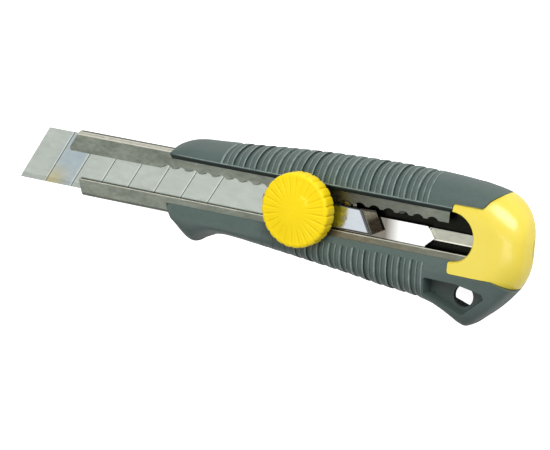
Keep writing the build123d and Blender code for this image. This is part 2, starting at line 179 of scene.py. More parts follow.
def prism(name, outline, levels, hub=None):
    # levels are (z, how far the outline has grown); a hub draws the end nearest z = 0 to a point
    ways = outwardWays(outline)
    rings = []
    for z, grown in levels:
        flat = outline + ways * grown
        rings.append(np.column_stack([flat, np.full(len(flat), z)]))
    if hub is not None:
        last = levels[-1][0] < 0
        flat = hub + 0.05 * (outline - hub)
        ring = np.column_stack([flat, np.full(len(flat), levels[-1 if last else 0][0])])
        rings = rings + [ring] if last else [ring] + rings
    return tube(name, rings)


def circle(centre, radius, count=64):
    turn = np.arange(count) * 2 * math.pi / count
    return np.column_stack([centre[0] + radius * np.cos(turn), centre[1] + radius * np.sin(turn)])


def between(x, stations, column):
    # a smooth curve through one column of the stations
    xs = np.array([s[0] for s in stations], float)
    ys = np.array([s[column] for s in stations], float)
    slopes = np.gradient(ys, xs)
    spot = int(np.clip(np.searchsorted(xs, x) - 1, 0, len(xs) - 2))
    width = xs[spot + 1] - xs[spot]
    t = float(np.clip((x - xs[spot]) / width, 0, 1))
    return (
        (2 * t ** 3 - 3 * t ** 2 + 1) * ys[spot]
        + (t ** 3 - 2 * t ** 2 + t) * width * slopes[spot]
        + (3 * t ** 2 - 2 * t ** 3) * ys[spot + 1]
        + (t ** 3 - t ** 2) * width * slopes[spot + 1]
    )


def ease(value, start, end):
    t = np.clip((value - start) / (end - start), 0, 1)
    return t * t * (3 - 2 * t)


# Handle: a moulded body with ribbed flanks, open over the channel.
handle = {
    "windowLow": -7.6,
    "windowHigh": 6.9,
    "sill": 1.25,            # foot of the window's edges, over the channel's lips
    "crestLow": -11.9,       # where the lower side's sloped margin ends
    "crestHigh": 8.5,        # the upper side's sharp inner edge
    "middleLow": -6.0,
    "middleHigh": -7.0,
    "channelSpace": ((50, -10.95, -2.45), (168.0, 9.95, 1.15)),
    "coreSpace": ((67.0, -11.02, -10.92), (171.0, 10.62, -2.35)),
    "capGap": 0.12,
    "noseRounding": (1.3, 1.6),
    "tailRounding": (1.6, 2.0),
    "domeFrom": (166, 179),  # where the cap's face turns into a dome
    # x, lowest y, highest y, back z, front z, fullness of the lower edge and of the upper
    # edge, fall of the lower side towards its edge
    "stations": [
        (57.6, -9.0, 9.3, -5.4, 1.9, 2.0, 1.8, 0.0),
        (58.6, -10.6, 10.8, -7.2, 2.1, 2.0, 1.8, 0.0),
        (60.4, -13.4, 12.0, -8.8, 2.3, 2.0, 1.7, 0.0),
        (62.5, -16.4, 12.8, -10.4, 2.5, 2.0, 1.7, 0.0),
        (64.5, -18.6, 13.2, -11.4, 2.6, 2.0, 1.7, 0.0),
        (66.4, -19.4, 13.4, -12.1, 2.7, 2.0, 1.7, 0.0),
        (68.6, -18.2, 13.5, -12.6, 2.75, 2.0, 1.7, 0.0),
        (71.0, -17.0, 13.6, -12.9, 2.8, 2.0, 1.7, 0.0),
        (74.0, -15.8, 13.8, -13.0, 2.85, 2.0, 1.7, 0.0),
        (78.0, -15.1, 14.1, -13.0, 2.9, 2.1, 1.7, 0.0),
        (84.0, -15.3, 14.5, -13.0, 2.9, 2.2, 1.8, 0.0),
        (92.0, -16.1, 15.2, -13.0, 2.9, 2.3, 1.85, 0.0),
        (106.0, -17.6, 16.2, -13.0, 2.9, 2.4, 1.9, 0.0),
        (124.0, -19.5, 17.0, -13.0, 2.9, 2.5, 1.95, 0.0),
        (136.0, -21.0, 17.3, -13.0, 2.9, 2.6, 2.0, 0.0),
        (142.0, -21.5, 17.3, -13.0, 2.9, 2.6, 2.0, 0.0),
        (149.0, -22.1, 17.15, -13.0, 2.9, 3.0, 2.0, 0.3),
        (153.0, -22.8, 17.0, -13.0, 2.9, 4.0, 2.0, 1.2),
        (157.0, -24.4, 16.8, -13.0, 2.9, 5.0, 2.0, 2.0),
        (160.0, -26.0, 16.6, -13.0, 2.9, 5.0, 2.0, 2.2),
        (162.4, -27.3, 16.4, -13.0, 2.9, 5.0, 2.0, 2.4),
        (164.4, -27.8, 16.3, -13.0, 2.9, 5.0, 2.0, 2.4),
        (166.4, -27.0, 16.0, -13.0, 2.9, 5.0, 2.0, 2.4),
        (169.0, -24.9, 15.6, -13.0, 2.85, 5.0, 2.0, 2.4),
        (173.5, -21.0, 14.5, -12.9, 2.7, 5.0, 2.0, 2.2),
        (177.4, -16.8, 12.4, -12.1, 2.1, 4.0, 2.0, 1.8),
        (180.2, -13.2, 9.7, -10.4, 1.1, 3.0, 2.0, 0.8),
        (182.2, -9.4, 6.6, -8.2, -0.3, 2.4, 2.0, 0.2),
        (183.5, -5.2, 3.0, -6.2, -2.2, 2.0, 2.0, 0.0),
    ],
}

# Ribs: scales with a sharp front edge and a hairline between them.
ribs = {
    "first": 77.95,
    "pitch": 4.05,
    "highCount": 18,
    "depth": 0.5,
    "rise": 0.62,            # share of the pitch over which the scale climbs back
    "hairlineAt": 0.56,
    "hairlineDepth": 0.16,
    "offsets": (0.0, 0.1, 0.22, 0.45, 0.8, 1.2, 1.6, 1.95, 2.12, 2.27, 2.42, 2.6, 3.0, 3.5, 3.95),
    "lowStart": 100.0,       # on the lower side the ribs fade in from here
    "lowFull": 113.0,
    "lowEdge": 9.4,
    "seams": (76.4, 79.1),   # two fine lines where the lower grip begins
    "seamDepth": 0.12,
    "backFade": (-12.6, -10.5),
}
lastRib = ribs["first"] + ribs["highCount"] * ribs["pitch"]


def quarter(startY, startZ, endY, endZ, power, count=60):
    # from a flat face (start) round to the widest point (end)
    angle = np.linspace(0, math.pi / 2, count)
    y = startY + (endY - startY) * np.sin(angle) ** (2 / power)
    z = endZ + (startZ - endZ) * np.cos(angle) ** (2 / power)
    return np.column_stack([y, z])


def evenly(line, count):
    lengths = np.concatenate([[0], np.cumsum(np.linalg.norm(np.diff(line, axis=0), axis=1))])
    spots = np.linspace(0, lengths[-1], count, endpoint=False)
    return np.column_stack([np.interp(spots, lengths, line[:, side]) for side in (0, 1)])


def handleSection(x, covered=False):
    # one closed outline across the handle; covered is the closed end under the cap
    stations = handle["stations"]
    low, high, back, front, lowPower, highPower, fall = (between(x, stations, c) for c in range(1, 8))
    depth = front - back
    middleLow = front - depth * (2.9 - handle["middleLow"]) / 15.9
    middleHigh = front - depth * (2.9 - handle["middleHigh"]) / 15.9
    backFlank = min(5.5, 0.3 * (high - low))
    crestLow = max(handle["crestLow"], low + 1.2)
    crestHigh = min(handle["crestHigh"], high - 0.4)
    if covered:
        domed = float(ease(x, *handle["domeFrom"]))
        flat = 0.55 * (1 - 0.8 * domed)  # share of the width that stays flat
        roundness = 2.3 - 0.3 * domed
        lowRoundness = roundness + 0.4 * (1 - domed) * (lowPower - 2)
        topLow = np.concatenate([
            np.column_stack([np.linspace(0, crestLow * flat, 20)[:-1], np.full(19, front)]),
            quarter(crestLow * flat, front, low, middleLow, lowRoundness, 100),
        ])
        topHigh = np.concatenate([
            quarter(crestHigh * flat, front, high, middleHigh, roundness, 100)[::-1],
            np.column_stack([np.linspace(crestHigh * flat, 0, 20)[1:], np.full(19, front)]),
        ])
        middleLine = None
    else:
        angle = np.linspace(0, math.pi / 2, 120)
        reach = np.sin(angle) ** (2 / lowPower)
        y = crestLow + (low - crestLow) * reach
        z = middleLow + (front - fall * reach - middleLow) * np.cos(angle) ** (2 / lowPower)
        margin = np.linspace(handle["windowLow"], crestLow, 30)[:-1]
        climb = np.sin((handle["windowLow"] - margin) / (handle["windowLow"] - crestLow) * math.pi / 2)
        marginZ = handle["sill"] + (front - handle["sill"]) * climb ** 0.9
        topLow = np.column_stack([np.concatenate([margin, y]), np.concatenate([marginZ, z])])
        wall = np.array([
            (crestHigh, front),
            (crestHigh - 0.25, front - 0.03),
            (crestHigh - 0.45, front - 0.22),
            (handle["windowHigh"], handle["sill"]),
        ])
        crown = quarter(crestHigh, front, high, middleHigh, highPower, 120)[::-1]
        topHigh = np.concatenate([crown[:-1], wall])
        middleLine = np.array([(handle[edge], handle["sill"]) for edge in ("windowHigh", "windowLow")])
    backLow = quarter(low + backFlank, back, low, middleLow, 2.2)[::-1]
    backHigh = quarter(high - backFlank, back, high, middleHigh, 2.2)
    backLine = np.array([backLow[-1], backHigh[0]])
    parts = [(topLow, 56), (backLow, 18), (backLine, 10), (backHigh, 18), (topHigh, 52)]
    if middleLine is not None:
        parts.append((middleLine, 8))
    return np.concatenate([evenly(line, count) for line, count in parts])


def ribDepth(x, y):
    # how far the ribs sink the flank at x, for points at y
    phase = ((x - ribs["first"]) / ribs["pitch"]) % 1.0
    inside = ribs["first"] - 0.01 <= x <= lastRib + 0.01
    scale = ribs["depth"] * (1 - ease(phase, 0.02, ribs["rise"]))
    hairline = ribs["hairlineDepth"] * math.exp(-((phase - ribs["hairlineAt"]) / 0.035) ** 2)
    sink = (scale + hairline) if inside else 0.0
    highShare = ease(y, handle["crestHigh"] + 0.1, handle["crestHigh"] + 0.6)
    lowShare = ease(-y, ribs["lowEdge"], ribs["lowEdge"] + 0.5)
    lowShare = lowShare * (0.22 + 0.78 * ease(x, ribs["lowStart"], ribs["lowFull"]))
    seam = sum(ribs["seamDepth"] * math.exp(-((x - at) / 0.18) ** 2) for at in ribs["seams"])
    seamShare = ease(-y, -handle["crestLow"] + 0.1, -handle["crestLow"] + 0.7)
    return sink * (highShare + lowShare * ease(x, 90, 92)) + seam * seamShare


def handleStops():
    stops = list(np.arange(57.6, ribs["first"] - 0.2, 0.35))
    for rib in range(ribs["highCount"]):
        start = ribs["first"] + rib * ribs["pitch"]
        stops += [start + offset for offset in ribs["offsets"]]
        stops.append(start + ribs["pitch"] - 0.02)
    stops += [lastRib, lastRib + 0.1]
    stops += list(np.arange(lastRib + 0.3, 183.5, 0.45))
    stops += [76.1, 76.3, 76.5, 76.7, 79.0, 79.2]
    return sorted(set(round(stop, 3) for stop in stops))


def endRounding(gone, depth, length):
    # how far an end has sunk at a distance from its tip
    return depth * (1 - math.sqrt(max(0, 1 - max(0, 1 - gone / length) ** 2)))


def handleSolid(name, stops, covered=False):
    rings = []
    for x in stops:
        outline = handleSection(x, covered)
        ways = outwardWays(outline)
        nose = endRounding(x - stops[0], *handle["noseRounding"])
        tail = endRounding(stops[-1] - x, *handle["tailRounding"])
        sink = np.full(len(outline), nose + tail)
        if not covered:
            sink = sink + ribDepth(x, outline[:, 0]) * ease(outline[:, 1], *ribs["backFade"])
        outline = outline - ways * sink[:, None]
        rings.append(np.column_stack([np.full(len(outline), x), outline]))
    return tube(name, rings)


# End cap: closes the butt, with two rounded prongs beside the channel's mouth.
endCap = {
    "front": 159.15,
    "lowEdge": -11.5,
    "highEdge": 9.9,
    "notch": (159.0, -0.4),
    "notchRadius": 7.7,
    "prongRadius": 0.9,
    "notchSides": [(-2.4, -0.1), (1.8, -0.1), (2.5, 0.05), (3.1, 0.6), (5, 2)],
    "rooms": {               # hollows, each from its lowest to its highest corner
        "core": ((150, -11.15, -11.05), (167.35, 10.75, -2.3)),
        "mouth": ((150, -11.05, -2.6), (167.35, 10.05, 1.25)),
        "slot": ((150, -8.8, -0.6), (177.9, 1.6, 0.5)),
        "magazine": ((150, -9.6, -9.7), (172.0, 9.6, -6.0)),
    },
}


def capOutline(grown):
    corners = [
        (endCap["front"], endCap["lowEdge"], endCap["prongRadius"]),
        (173.6, -11.6, 2.5),
        (178.9, -13.7, 2.0),
        (192, -13.6, 0.1),
        (192, 26, 0.1),
        (182.0, 24.0, 0.1),
        (175.6, 16.2, 4.0),
        (170.6, 12.4, 2.2),
        (169.0, endCap["highEdge"], 1.2),
        (endCap["front"], endCap["highEdge"], endCap["prongRadius"]),
    ]
    outline = roundedOutline(corners)
    return outline + outwardWays(outline) * grown


lanyard = {
    "hole": (163.2, -18.6),
    "holeRadius": 3.3,
    "webFront": -2.0,
    "webBack": -3.6,
    "pocket": [
        (151.7, -14.7, 0.5), (162.0, -14.8, 3.0), (170.6, -16.3, 0.6), (171.2, -17.6, 0.5),
        (164.3, -23.9, 0.6), (158.2, -21.7, 3.0), (151.7, -19.4, 0.4),
    ],
}


def makeHandle():
    body = handleSolid("handle_shell", handleStops())
    low, high = handle["channelSpace"]
    combine(body, block("space", low, high))
    combine(body, block("core", *handle["coreSpace"]))
    window = ((low[0], handle["windowLow"], 0), (high[0], handle["windowHigh"], 5))
    combine(body, block("window", *window))
    combine(body, prism("end", capOutline(handle["capGap"]), [(-20, 0), (10, 0)]))
    hub = np.array(lanyard["hole"])
    combine(body, prism("hole", circle(hub, lanyard["holeRadius"]), [(-20, 0), (10, 0)]))
    pocket = roundedOutline(lanyard["pocket"], 5)
    sides = [(lanyard["webFront"], -0.5), (-1.4, -0.25), (0.4, 0), (2.2, 0.35), (4, 1.2)]
    combine(body, prism("pocket", pocket, sides, hub))
    combine(body, prism("under", pocket, [(-20, 1.2), (-12.6, 0.9), (lanyard["webBack"], -0.1)], hub))
    cleanUp(body)
    return body


handleShell = makeHandle()
print("handle shell,", len(handleShell.data.polygons), "faces")


def makeCap():
    stops = list(np.arange(156.0, 181.4, 0.5)) + list(np.arange(181.4, 183.5, 0.12))
    cap = handleSolid("butt_cap", stops, covered=True)
    combine(cap, prism("region", capOutline(0), [(-20, 0), (10, 0)]), "INTERSECT")
    notch = circle(endCap["notch"], endCap["notchRadius"], 96)
    combine(cap, prism("notch", notch, endCap["notchSides"]))
    for room, (low, high) in endCap["rooms"].items():
        combine(cap, block(room, low, high))
    return cap


buttCap = makeCap()
print("butt cap,", len(buttCap.data.polygons), "faces")

# Wheel: a low cone fluted out to a notched rim.
wheel = {
    "flutes": 24,
    "steps": 10,             # samples to a flute
    "bottom": 3.6,
    "underside": 3.95,
    "crown": 9.8,
    "rimTop": 9.05,
    "radius": 11.7,
    "smoothRadius": 2.6,
    "fluteDepth": 0.24,
    "notchDepth": 0.38,
    "boreRadius": 3.4,       # a hexagon for the insert
    "boreTop": 8.35,
}
wheelMiddle = measure(((wheelLow.x + wheelHigh.x) / 2, (wheelLow.y + wheelHigh.y) / 2, wheelHigh.z))


def makeWheel():
    count = wheel["flutes"] * wheel["steps"]
    turns = np.arange(count) * 2 * math.pi / count
    radius, rimTop, underside = wheel["radius"], wheel["rimTop"], wheel["underside"]
    profile = [
        (0.6, wheel["crown"] - 0.02), (1.6, wheel["crown"] - 0.02), (2.6, wheel["crown"] - 0.03),
        (3.3, wheel["crown"] - 0.05), (4.2, wheel["crown"] - 0.1),
    ]
    profile += [(r, wheel["crown"] - 0.1 - 0.1 * (r - 4.2)) for r in np.arange(4.9, 10.4, 0.5)]
    profile += [
        (10.6, rimTop + 0.07), (10.85, rimTop), (11.15, rimTop - 0.12), (11.45, rimTop - 0.36),
        (11.6, rimTop - 0.6), (radius, rimTop - 1.05), (radius, rimTop - 1.7), (radius, 6.4),
        (radius, 4.5), (radius - 0.15, 4.1), (radius - 0.5, underside), (8.0, underside),
        (5.2, underside), (5.2, wheel["bottom"]), (2.0, wheel["bottom"]),
    ]
    phase = (np.arange(count) % wheel["steps"]) / wheel["steps"]
    valley = (1 - np.abs(np.sin(phase * math.pi))) ** 2.2
    hair = 0.35 * np.maximum(0, 1 - np.abs(phase - 0.5) / 0.12)
    notch = np.clip(1 - np.minimum(phase, 1 - phase) / 0.16, 0, 1)
    points = []
    for r, z in profile:
        onFace = z > rimTop - 0.01
        growth = ease(r, wheel["smoothRadius"], 9.0) if onFace else 0
        fade = 1 - ease(r, 10.3, 10.9) if onFace else 0
        sink = wheel["fluteDepth"] * growth * fade * (valley + hair)
        rim = ease(r, 10.7, 11.7) * (1 if z > underside - 0.01 else 0)
        radii = r - wheel["notchDepth"] * rim * notch
        x = wheelMiddle[0] + radii * np.cos(turns)
        y = wheelMiddle[1] + radii * np.sin(turns)
        points.append(np.column_stack([x, y, z - sink]))
    return tube("thumb_wheel", points)


thumbWheel = makeWheel()
bore = circle(wheelMiddle[:2], wheel["boreRadius"], 6)
combine(thumbWheel, prism("bore", bore, [(3, 0), (wheel["boreTop"], 0)]))
print("thumb wheel,", len(thumbWheel.data.polygons), "faces")

for piece, angle in ((handleShell, 38), (buttCap, 35), (thumbWheel, 40)):
    smoothShade(piece, angle)


# Node groups shared by the finishes.

def newGroup(name, inputs, outputs):
    group = bpy.data.node_groups.new(name, "ShaderNodeTree")
    for label, kind, value in inputs:
        socket = group.interface.new_socket(label, in_out="INPUT", socket_type=kind)
        if value is not None:
            socket.default_value = value
    for label, kind in outputs:
        group.interface.new_socket(label, in_out="OUTPUT", socket_type=kind)
    start = group.nodes.new("NodeGroupInput")
    end = group.nodes.new("NodeGroupOutput")
    return group, start, end


def addNode(tree, kind, settings=None, **values):
    node = tree.nodes.new(kind)
    for key, value in (settings or {}).items():
        setattr(node, key, value)
    for key, value in values.items():
        node.inputs[key.replace("_", " ")].default_value = value
    return node


def math2(tree, operation, first, second=None, third=None, clamp=False):
    node = tree.nodes.new("ShaderNodeMath")
    node.operation = operation
    node.use_clamp = clamp
    for spot, value in enumerate((first, second, third)):
        if value is None:
            continue
        if isinstance(value, (int, float)):
            node.inputs[spot].default_value = value
        else:
            tree.links.new(value, node.inputs[spot])
    return node.outputs[0]


def stretch(tree, value, low, high, newLow=0.0, newHigh=1.0):
    node = tree.nodes.new("ShaderNodeMapRange")
    for spot, bound in enumerate((low, high, newLow, newHigh)):
        node.inputs[spot + 1].default_value = bound
    tree.links.new(value, node.inputs[0])
    return node.outputs[0]


def mixColour(tree, share, first, second, mode="MIX"):
    node = tree.nodes.new("ShaderNodeMix")
    node.data_type = "RGBA"
    node.blend_type = mode
    for spot, value in ((0, share), (6, first), (7, second)):
        if isinstance(value, (int, float, tuple)):
            node.inputs[spot].default_value = value
        else:
            tree.links.new(value, node.inputs[spot])
    return node.outputs[2]


def objectPlace(tree):
    # position in mm from the blade's tip, its middle line and its upper face
    where = tree.nodes.new("ShaderNodeTexCoord").outputs["Object"]
    shift = addNode(tree, "ShaderNodeVectorMath", {"operation": "SUBTRACT"})
    tree.links.new(where, shift.inputs[0])
    shift.inputs[1].default_value = tuple(origin)
    grow = addNode(tree, "ShaderNodeVectorMath", {"operation": "SCALE"})
    tree.links.new(shift.outputs[0], grow.inputs[0])
    grow.inputs["Scale"].default_value = 1 / mm
    return grow.outputs[0]


def splitPlace(tree, where):
    node = tree.nodes.new("ShaderNodeSeparateXYZ")
    tree.links.new(where, node.inputs[0])
    return node.outputs


def noise(tree, where, scale, detail=3.0, roughness=0.55, distortion=0.0):
    node = addNode(tree, "ShaderNodeTexNoise")
    tree.links.new(where, node.inputs["Vector"])
    node.inputs["Scale"].default_value = scale
    node.inputs["Detail"].default_value = detail
    node.inputs["Roughness"].default_value = roughness
    node.inputs["Distortion"].default_value = distortion
    return node.outputs[0]


def makeGrain():
    # fine moulded or sanded texture: a height and a soft speckle
    group, start, end = newGroup(
        "fineGrain",
        [("Fineness", "NodeSocketFloat", 3.0), ("Strength", "NodeSocketFloat", 1.0)],
        [("Height", "NodeSocketFloat"), ("Speckle", "NodeSocketFloat")],
    )
    where = objectPlace(group)
    sized = addNode(group, "ShaderNodeVectorMath", {"operation": "SCALE"})
    group.links.new(where, sized.inputs[0])
    group.links.new(start.outputs["Fineness"], sized.inputs["Scale"])
    small = noise(group, sized.outputs[0], 1.0, 4.0, 0.6)
    large = noise(group, sized.outputs[0], 0.27, 2.0, 0.5)
    height = math2(group, "MULTIPLY", math2(group, "SUBTRACT", small, 0.5), start.outputs["Strength"])
    group.links.new(height, end.inputs["Height"])
    speckle = math2(group, "MULTIPLY", math2(group, "ADD", small, large), 0.5)
    group.links.new(speckle, end.inputs["Speckle"])
    return group


def makeMottle():
    # soft blotches along the piece, as on worn plate and moulded plastic
    group, start, end = newGroup(
        "mottle",
        [
            ("Size", "NodeSocketFloat", 6.0),
            ("Lengthening", "NodeSocketFloat", 2.0),
            ("Contrast", "NodeSocketFloat", 1.0),
        ],
        [("Blotch", "NodeSocketFloat"), ("Streak", "NodeSocketFloat")],
    )
    where = objectPlace(group)
    parts = splitPlace(group, where)
    along = math2(group, "DIVIDE", parts[0], start.outputs["Lengthening"])
    joined = group.nodes.new("ShaderNodeCombineXYZ")
    group.links.new(along, joined.inputs[0])
    group.links.new(parts[1], joined.inputs[1])
    group.links.new(parts[2], joined.inputs[2])
    shrink = math2(group, "DIVIDE", 1.0, start.outputs["Size"])
    sized = addNode(group, "ShaderNodeVectorMath", {"operation": "SCALE"})
    group.links.new(joined.outputs[0], sized.inputs[0])
    group.links.new(shrink, sized.inputs["Scale"])
    blotch = noise(group, sized.outputs[0], 1.0, 3.0, 0.6, 0.4)
    streak = noise(group, sized.outputs[0], 6.0, 3.0, 0.7)
    for source, name in ((blotch, "Blotch"), (streak, "Streak")):
        centred = math2(group, "SUBTRACT", source, 0.5)
        centred = math2(group, "MULTIPLY", centred, start.outputs["Contrast"])
        group.links.new(math2(group, "ADD", centred, 0.5, clamp=True), end.inputs[name])
    return group


def makeEdgeWearAndHighlight():
    # paler sharp outer edges, partly worn and partly a painted edge highlight, and darker hollows, from
    # the shape itself
    group, start, end = newGroup(
        "edgeWearAndHighlight",
        [("Reach", "NodeSocketFloat", 1.0), ("Raggedness", "NodeSocketFloat", 0.4)],
        [("Edge", "NodeSocketFloat"), ("Hollow", "NodeSocketFloat")],
    )
    where = objectPlace(group)
    ragged = noise(group, where, 1.3, 4.0, 0.65)
    point = group.nodes.new("ShaderNodeNewGeometry").outputs["Pointiness"]
    raggedness = math2(group, "MULTIPLY", start.outputs["Raggedness"], 0.06)
    shift = math2(group, "MULTIPLY", math2(group, "SUBTRACT", ragged, 0.5), raggedness)
    shifted = math2(group, "ADD", point, shift)
    over = math2(group, "MULTIPLY", math2(group, "SUBTRACT", shifted, 0.515), 14.0)
    under = math2(group, "MULTIPLY", math2(group, "SUBTRACT", 0.485, shifted), 14.0)
    for value, name in ((over, "Edge"), (under, "Hollow")):
        scaled = math2(group, "MULTIPLY", value, start.outputs["Reach"], clamp=True)
        group.links.new(scaled, end.inputs[name])
    return group


def makeScratches():
    # fine lines drawn along the length by sliding parts
    group, start, end = newGroup(
        "slideMarks",
        [("Spacing", "NodeSocketFloat", 0.5), ("Share", "NodeSocketFloat", 0.4)],
        [("Mark", "NodeSocketFloat"), ("Height", "NodeSocketFloat")],
    )
    where = objectPlace(group)
    parts = splitPlace(group, where)
    joined = group.nodes.new("ShaderNodeCombineXYZ")
    group.links.new(math2(group, "MULTIPLY", parts[0], 0.03), joined.inputs[0])
    group.links.new(math2(group, "DIVIDE", parts[1], start.outputs["Spacing"]), joined.inputs[1])
    group.links.new(math2(group, "DIVIDE", parts[2], start.outputs["Spacing"]), joined.inputs[2])
    lines = noise(group, joined.outputs[0], 1.0, 4.0, 0.75)
    mark = stretch(group, lines, 0.56, 0.72)
    shared = math2(group, "MULTIPLY", mark, start.outputs["Share"], clamp=True)
    group.links.new(shared, end.inputs["Mark"])
    group.links.new(lines, end.inputs["Height"])
    return group


groups = {
    "grain": makeGrain(),
    "mottle": makeMottle(),
    "wearAndHighlight": makeEdgeWearAndHighlight(),
    "marks": makeScratches(),
}
print("node groups made")


def useGroup(tree, name, **values):
    node = tree.nodes.new("ShaderNodeGroup")
    node.node_tree = groups[name]
    for key, value in values.items():
        node.inputs[key].default_value = value
    return node


def newMaterial(name, roughness=0.5, metallic=0.0, coat=0.0, coatRoughness=0.1, specular=0.5):
    material = bpy.data.materials.new(name)
    material.use_nodes = True
    tree = material.node_tree
    shader = tree.nodes["Principled BSDF"]
    shader.inputs["Roughness"].default_value = roughness
    shader.inputs["Metallic"].default_value = metallic
    shader.inputs["Coat Weight"].default_value = coat
    shader.inputs["Coat Roughness"].default_value = coatRoughness
    shader.inputs["Specular IOR Level"].default_value = specular
    return material, tree, shader


def addBump(tree, shader, height, distance, strength=0.5):
    bump = addNode(tree, "ShaderNodeBump")
    bump.inputs["Distance"].default_value = distance * mm
    bump.inputs["Strength"].default_value = strength
    tree.links.new(height, bump.inputs["Height"])
    tree.links.new(bump.outputs[0], shader.inputs["Normal"])


def colour(red, green, blue):
    # display values 0-255 to linear light
    def linear(value):
        value = value / 255
        return value / 12.92 if value <= 0.04045 else ((value + 0.055) / 1.055) ** 2.4
    return (linear(red), linear(green), linear(blue), 1.0)


def product(tree, *values):
    total = values[0]
    for value in values[1:]:
        total = math2(tree, "MULTIPLY", total, value)
    return total


def nearTo(tree, value, middle, fadeEnd, fadeStart):
    # 1 within fadeStart of a value, 0 beyond fadeEnd
    away = math2(tree, "ABSOLUTE", math2(tree, "SUBTRACT", value, middle))
    return stretch(tree, away, fadeEnd, fadeStart)


def ribShades(tree, base, look):
    # painted light on the handle: painted highlights on the rib crests and beside each hairline,
    # painted shade at the foot of each rib and in each hairline, a dark inner wall and a dull lower
    # side that are both painted shade, and a painted highlight along the upper inner edge
    x, y, z = splitPlace(tree, objectPlace(tree))
    steps = math2(tree, "DIVIDE", math2(tree, "SUBTRACT", x, ribs["first"]), ribs["pitch"])
    phase = math2(tree, "FRACT", steps)
    begun = stretch(tree, steps, -0.12, -0.1)
    notEnded = stretch(tree, steps, ribs["highCount"], ribs["highCount"] - 0.02)
    lowSide = stretch(tree, y, -ribs["lowEdge"], -ribs["lowEdge"] - 0.4)
    lowFlank = product(tree, lowSide, stretch(tree, x, 98, 110))
    highFlank = stretch(tree, y, 8.5, 8.9)
    flank = product(tree, begun, notEnded, math2(tree, "MAXIMUM", highFlank, lowFlank))
    patchy = stretch(tree, noise(tree, objectPlace(tree), 0.35, 3.0), 0.35, 0.62, 0.45, 1.0)
    # painted shade: the lower side darkens towards its back and outer edge, where the light falls away
    falling = product(tree, stretch(tree, z, 2.8, -4.0), stretch(tree, y, -11.6, -13.0))
    side = product(tree, falling, stretch(tree, x, 174, 166), look["lowShare"])
    # painted shade: dark at the foot of each rib and in each hairline, where the grooves lie in shade
    foot = product(tree, stretch(tree, phase, 0.2, 0.03), flank, look["footShare"])
    hair = product(tree, nearTo(tree, phase, ribs["hairlineAt"], 0.07, 0.02), flank, look["hairShare"])
    # painted highlights: a light line beside each hairline and on each rib's crest, patchy along the
    # length
    beside = nearTo(tree, phase, ribs["hairlineAt"] - 0.1, 0.06, 0.02)
    lit = product(tree, beside, flank, patchy, look["hairShare"])
    crest = product(tree, stretch(tree, phase, 0.86, 0.93), flank, patchy, look["crestShare"])
    # painted shade: the inner wall between the upper edge and the lips is painted dark
    innerFace = product(tree, stretch(tree, y, 8.45, 8.15), stretch(tree, y, 6.2, 6.6))
    wall = product(tree, innerFace, stretch(tree, z, 1.15, 1.3))
    # painted highlight along the upper side's sharp inner edge
    edge = product(tree, nearTo(tree, y, 8.62, 0.2, 0.08), stretch(tree, z, 2.2, 2.6))
    lip = product(tree, edge, patchy, look["crestShare"])
    for share, tone in (
        (side, "lowSide"), (foot, "hollow"), (hair, "hollow"), (lit, "edge"),
        (crest, "edge"), (wall, "innerWall"), (lip, "edge"),
    ):
        base = mixColour(tree, share, base, look[tone])
    return base


def grainRoughness(tree, shader, speckle, middle, below, above):
    rough = stretch(tree, speckle, 0.3, 0.7, middle - below, middle + above)
    tree.links.new(rough, shader.inputs["Roughness"])


def mouldedGrey(name, look):
    # greenish grey moulded plastic: satin, with a faint grain
    material, tree, shader = newMaterial(name, look["roughness"], specular=look["specular"])
    grain = useGroup(tree, "grain", Fineness=look["grain"], Strength=1.0)
    mottle = useGroup(tree, "mottle", Size=9.0, Lengthening=2.5, Contrast=1.3)
    base = mixColour(tree, mottle.outputs["Blotch"], look["deep"], look["body"])
    speckShare = stretch(tree, grain.outputs["Speckle"], 0.35, 0.65, 0.0, 0.35)
    base = mixColour(tree, speckShare, base, look["speck"])
    if look["ribbed"]:
        base = ribShades(tree, base, look)
    tree.links.new(base, shader.inputs["Base Color"])
    grainRoughness(tree, shader, grain.outputs["Speckle"], look["roughness"], 0.07, 0.09)
    addBump(tree, shader, grain.outputs["Height"], 0.06, 0.35)
    return material


handleLook = {
    "roughness": 0.46,
    "specular": 0.45,
    "grain": 3.4,
    "ribbed": True,
    "body": colour(80, 95, 91),
    "deep": colour(69, 84, 80),
    "speck": colour(88, 104, 99),
    # hollow is a painted shade colour for the rib grooves
    "hollow": colour(33, 44, 41),
    # edge is a painted highlight colour for the rib crests, hairlines and inner edge
    "edge": colour(140, 156, 151),
    # lowSide is a painted shade colour for the lower side
    "lowSide": colour(34, 46, 42),
    # innerWall is a painted shade colour
    "innerWall": colour(34, 46, 43),
    "lowShare": 0.85,
    "footShare": 0.8,
    "hairShare": 0.55,
    "crestShare": 0.8,
}
handleGrey = mouldedGrey("moulded_grey", handleLook)
coreLook = dict(
    handleLook, ribbed=False,
    body=colour(58, 64, 63), deep=colour(50, 56, 55), speck=colour(66, 72, 71),
)
coreGrey = mouldedGrey("core_grey", coreLook)


